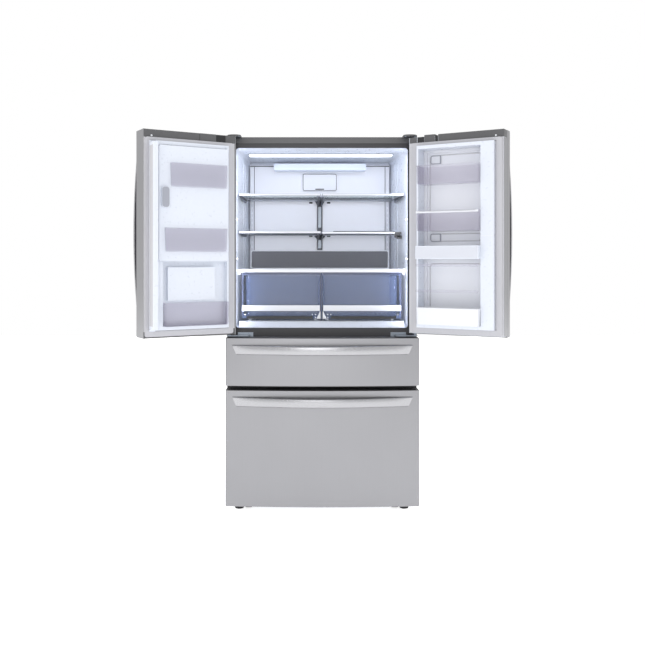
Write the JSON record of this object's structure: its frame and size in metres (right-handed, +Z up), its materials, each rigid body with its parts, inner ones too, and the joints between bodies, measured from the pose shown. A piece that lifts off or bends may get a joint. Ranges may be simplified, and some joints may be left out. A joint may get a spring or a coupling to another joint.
{
  "type": "french door refrigerator",
  "caption": "Free-standing french door refrigerator with a second door on the right, folding mullion, ice room, shelves, crispers and freezer drawers.",
  "frame": {"origin": "on the floor under the middle of the whole part as stored, with both doors open", "axes": "+Z up; +Y from the front to the back, so the front faces -Y; +X to the right seen from the front"},
  "size_m": [1.7452, 0.9607, 1.791],
  "materials": {
    "stainless_front": "fine upright brushing",
    "handle_steel": "satin",
    "case_paint": "fine textured enamel",
    "galvanised_sheet": "zinc coated",
    "flange_paint": "dark satin enamel",
    "zinc_steel": "bright zinc",
    "compressor_paint": "semi gloss black",
    "rubber_black": "moulded",
    "insulation_foam": "closed cell foam",
    "liner_white": "thermoformed sheet",
    "duct_foam_panel": "white skin on foam",
    "light_lens": "frosted",
    "track_grey": "dark grey enamel",
    "clear_plastic": "clear moulding",
    "bin_white": "moulded",
    "shelf_glass": "tempered",
    "cap_grey": "moulded",
    "foamed_panel": "white sheet with foam behind it",
    "gasket_grey": "soft magnetic seal",
    "ice_room_white": "moulded",
    "dispenser_black": "polished"
  },
  "bodies": {
    "cabinet": {"outer_case": "case_paint", "front_frame": "flange_paint", "rear_panel": "galvanised_sheet", "machine_cover": "galvanised_sheet", "base_frame": "galvanised_sheet", "leveling_feet": "rubber_black", "foam_insulation": "insulation_foam", "compressor": "compressor_paint", "fridge_liner": "liner_white", "drawer_liner": "liner_white", "freezer_liner": "liner_white", "top_cover": "cap_grey", "top_hinges": "zinc_steel", "mid_hinges": "zinc_steel", "duct_panel": "duct_foam_panel", "filter_cover": "liner_white", "ceiling_light": "light_lens", "shelf_ladders": "track_grey", "shelf_frames": "liner_white", "shelf_glass": "shelf_glass", "crisper_cover": "liner_white", "drawer_slides": "zinc_steel"},
    "front_wheels": {"front_rollers": "rubber_black"},
    "rear_wheels": {"rear_rollers": "rubber_black"},
    "left_door": {"left_door_skin": "stainless_front", "left_door_caps": "cap_grey", "left_door_core": "foamed_panel", "left_door_gasket": "gasket_grey", "left_door_handle": "handle_steel", "left_door_bin": "clear_plastic", "dispenser_housing": "dispenser_black", "ice_room": "ice_room_white", "ice_bucket": "clear_plastic", "ice_maker": "ice_room_white"},
    "ice_door": {"ice_room_door": "ice_room_white", "ice_door_bins": "clear_plastic"},
    "mullion": {"mullion_flap": "ice_room_white"},
    "paddle": {"dispenser_paddle": "dispenser_black"},
    "right_bin_frame": {"bin_frame": "foamed_panel", "bin_frame_gasket": "gasket_grey", "bin_frame_bins": "clear_plastic"},
    "right_outer_door": {"outer_door_skin": "stainless_front", "outer_door_caps": "cap_grey", "outer_door_core": "foamed_panel", "outer_door_hinges": "zinc_steel", "outer_door_gasket": "gasket_grey", "outer_door_handle": "handle_steel"},
    "middle_drawer": {"middle_front": "stainless_front", "middle_core": "foamed_panel", "middle_gasket": "gasket_grey", "middle_handle": "handle_steel", "middle_bin": "bin_white"},
    "freezer_drawer": {"freezer_front": "stainless_front", "freezer_core": "foamed_panel", "freezer_gasket": "gasket_grey", "freezer_handle": "handle_steel", "freezer_bin": "bin_white"},
    "tray": {"freezer_tray": "bin_white"},
    "left_crisper": {"crisper_left": "clear_plastic"},
    "right_crisper": {"crisper_right": "clear_plastic"}
  },
  "joints": [
    {"name": "left_door_hinge", "type": "hinge", "parent": "cabinet", "child": "left_door", "pos_m": [-0.4386, -0.18008, 0.9], "axis": [0, 0, 1], "range_deg": [0, 150]},
    {"name": "right_bin_frame_hinge", "type": "hinge", "parent": "cabinet", "child": "right_bin_frame", "pos_m": [0.4386, -0.18008, 0.9], "axis": [0, 0, -1], "range_deg": [0, 150]},
    {"name": "right_outer_door_hinge", "type": "hinge", "parent": "right_bin_frame", "child": "right_outer_door", "pos_m": [0.4386, -0.18008, 0.9], "axis": [0, 0, -1], "range_deg": [-20, 0]},
    {"name": "mullion_hinge", "type": "hinge", "parent": "left_door", "child": "mullion", "pos_m": [-0.76546, -0.43115, 1.304], "axis": [0, 0, -1], "range_deg": [0, 90]},
    {"name": "ice_door_hinge", "type": "hinge", "parent": "left_door", "child": "ice_door", "pos_m": [-0.44077, -0.26552, 1.45], "axis": [0, 0, -1], "range_deg": [-95, 0]},
    {"name": "paddle_hinge", "type": "hinge", "parent": "left_door", "child": "paddle", "pos_m": [-0.64124, -0.2763, 1.15], "axis": [-0.866, -0.5, 0], "range_deg": [0, 8], "stiffness_Nm_per_rad": 0.12},
    {"name": "middle_drawer_slide", "type": "slide", "parent": "cabinet", "child": "middle_drawer", "axis": [0, 1, 0], "range_m": [-0.4, 0]},
    {"name": "freezer_drawer_slide", "type": "slide", "parent": "cabinet", "child": "freezer_drawer", "axis": [0, 1, 0], "range_m": [-0.45, 0]},
    {"name": "freezer_tray_slide", "type": "slide", "parent": "cabinet", "child": "tray", "axis": [0, 1, 0], "range_m": [-0.23, 0]},
    {"name": "left_crisper_slide", "type": "slide", "parent": "cabinet", "child": "left_crisper", "axis": [0, 1, 0], "range_m": [-0.3, 0]},
    {"name": "right_crisper_slide", "type": "slide", "parent": "cabinet", "child": "right_crisper", "axis": [0, 1, 0], "range_m": [-0.3, 0]},
    {"name": "front_roller_spin", "type": "hinge", "parent": "cabinet", "child": "front_wheels", "pos_m": [0, -0.08708, 0.023], "axis": [1, 0, 0], "continuous": true},
    {"name": "rear_roller_spin", "type": "hinge", "parent": "cabinet", "child": "rear_wheels", "pos_m": [0, 0.41591, 0.022], "axis": [1, 0, 0], "continuous": true}
  ],
  "couplings": [
    {"joint": "mullion_hinge", "follows": "left_door_hinge", "ratio": 0.6},
    {"joint": "freezer_tray_slide", "follows": "freezer_drawer_slide", "ratio": 0.5}
  ]
}
